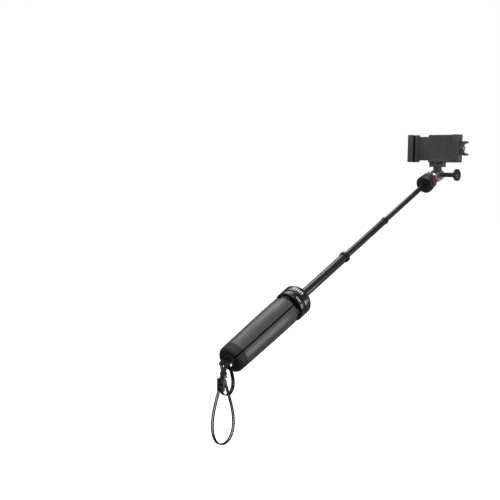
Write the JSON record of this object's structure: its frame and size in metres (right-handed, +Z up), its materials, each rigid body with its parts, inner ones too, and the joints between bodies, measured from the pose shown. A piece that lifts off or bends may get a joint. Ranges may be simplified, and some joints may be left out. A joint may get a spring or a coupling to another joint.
{
  "type": "selfie stick",
  "caption": "Selfie stick with a folding three-leg grip, telescopic pole, ball head, tilt hinge, spring phone clamp with wing lock, and wrist strap.",
  "frame": {"origin": "on the pole's axis at the middle of the hand grip", "axes": "+Z up as the stick is held, pole rising 26.5 degrees towards +X, clamp opening along Y, phone's screen towards -X"},
  "size_m": [0.4699, 0.0955, 0.3688],
  "materials": {
    "tube_black": "satin black anodised",
    "leg_grey": "satin moulded dark grey",
    "collar_black": "semi-gloss moulded black",
    "frame_black": "matt moulded black",
    "head_black": "satin black",
    "accent_red": "satin dark red",
    "fork_grey": "satin cast grey",
    "clamp_black": "fine-textured moulded dark grey",
    "rubber_black": "matt rubber",
    "steel": "bright steel",
    "dark_steel": "blackened steel",
    "brass": "machined brass",
    "cord_black": "braided black cord",
    "webbing_black": "woven black webbing"
  },
  "bodies": {
    "hub": {"core_tube": "tube_black", "leg_hub": "frame_black", "collar_sleeve": "collar_black", "ring_retainer": "steel", "retainer_screws": "steel", "pole_collet": "frame_black", "leg_hinge_pins": "steel", "core_end_cap": "frame_black", "strap_pin": "steel", "strap_webbing": "webbing_black", "strap_buckle": "clamp_black", "wrist_cord_inner": "cord_black", "wrist_cord_outer": "cord_black", "cord_crimp": "dark_steel"},
    "collar_ring": {"lock_ring": "collar_black"},
    "leg_1": {"leg_1_shell": "leg_grey", "leg_1_liner": "frame_black", "leg_1_foot": "rubber_black"},
    "leg_2": {"leg_2_shell": "leg_grey", "leg_2_liner": "frame_black", "leg_2_foot": "rubber_black"},
    "leg_3": {"leg_3_shell": "leg_grey", "leg_3_liner": "frame_black", "leg_3_foot": "rubber_black"},
    "stage_a": {"tube_a": "tube_black", "shoe_a": "frame_black", "flange_a": "collar_black"},
    "stage_b": {"tube_b": "tube_black", "shoe_b": "frame_black", "lip_b": "collar_black"},
    "stage_c": {"tube_c": "tube_black", "shoe_c": "frame_black", "head_cup": "frame_black", "red_ring_lower": "accent_red"},
    "head_lock": {"head_collar": "head_black"},
    "head_pan": {"pan_cap": "frame_black", "red_ring_upper": "accent_red"},
    "head_ball": {"tilt_ball": "steel", "tilt_fork": "fork_grey", "tilt_nut": "dark_steel"},
    "thumb_screw": {"tilt_screw": "dark_steel", "tilt_knob": "head_black"},
    "clamp": {"clamp_arm": "clamp_black", "arm_screws": "dark_steel", "clamp_housing": "clamp_black", "clamp_cover": "clamp_black", "guide_rods": "steel", "fixed_jaw": "clamp_black", "fixed_jaw_pad": "rubber_black", "lock_insert": "brass", "jaw_springs": "steel"},
    "moving_jaw": {"sliding_jaw": "clamp_black", "sliding_jaw_pad": "rubber_black", "slide_plate": "clamp_black", "slide_blocks": "clamp_black"},
    "wing_lock": {"lock_screw": "steel", "wing_knob": "head_black", "wing_cap": "steel"}
  },
  "joints": [
    {"name": "collar_twist", "type": "hinge", "parent": "hub", "child": "collar_ring", "pos_m": [0.0537, 0, 0.02677], "axis": [0.8949, 0, 0.4462], "range_deg": [0, 60]},
    {"name": "leg_1_fold", "type": "hinge", "parent": "hub", "child": "leg_1", "pos_m": [0.03277, 0, 0.03064], "axis": [0, 1, 0], "range_deg": [0, 60]},
    {"name": "leg_2_fold", "type": "hinge", "parent": "hub", "child": "leg_2", "pos_m": [0.04134, -0.01109, 0.01346], "axis": [-0.3864, -0.5, 0.775], "range_deg": [0, 60]},
    {"name": "leg_3_fold", "type": "hinge", "parent": "hub", "child": "leg_3", "pos_m": [0.04134, 0.01109, 0.01346], "axis": [0.3864, -0.5, -0.775], "range_deg": [0, 60]},
    {"name": "stage_a_slide", "type": "slide", "parent": "hub", "child": "stage_a", "axis": [0.8949, 0, 0.4462], "range_m": [-0.1, 0]},
    {"name": "stage_b_slide", "type": "slide", "parent": "stage_a", "child": "stage_b", "axis": [0.8949, 0, 0.4462], "range_m": [-0.094, 0]},
    {"name": "stage_c_slide", "type": "slide", "parent": "stage_b", "child": "stage_c", "axis": [0.8949, 0, 0.4462], "range_m": [-0.1045, 0]},
    {"name": "head_lock_twist", "type": "hinge", "parent": "stage_c", "child": "head_lock", "pos_m": [0.34455, 0, 0.17179], "axis": [0.8949, 0, 0.4462], "range_deg": [0, 120]},
    {"name": "head_pan_turn", "type": "hinge", "parent": "stage_c", "child": "head_pan", "pos_m": [0.35216, 0, 0.17558], "axis": [0.8949, 0, 0.4462], "continuous": true},
    {"name": "ball_tilt", "type": "hinge", "parent": "head_pan", "child": "head_ball", "pos_m": [0.35216, 0, 0.17558], "axis": [0, 1, 0], "range_deg": [-35, 40]},
    {"name": "clamp_tilt", "type": "hinge", "parent": "head_ball", "child": "clamp", "pos_m": [0.37542, 0, 0.18474], "axis": [0, 1, 0], "range_deg": [-45, 90]},
    {"name": "thumb_screw_turn", "type": "hinge", "parent": "head_ball", "child": "thumb_screw", "pos_m": [0.37542, 0, 0.18474], "axis": [0, 1, 0], "range_deg": [-180, 180]},
    {"name": "jaw_slide", "type": "slide", "parent": "clamp", "child": "moving_jaw", "axis": [0, 1, 0], "range_m": [-0.011, 0.013], "stiffness_N_per_m": 300, "springref_m": -0.03, "deforming": ["jaw_springs"]},
    {"name": "wing_turn", "type": "hinge", "parent": "clamp", "child": "wing_lock", "pos_m": [0.36322, -0.0432, 0.22174], "axis": [0, -1, 0], "range_deg": [-180, 180]}
  ]
}
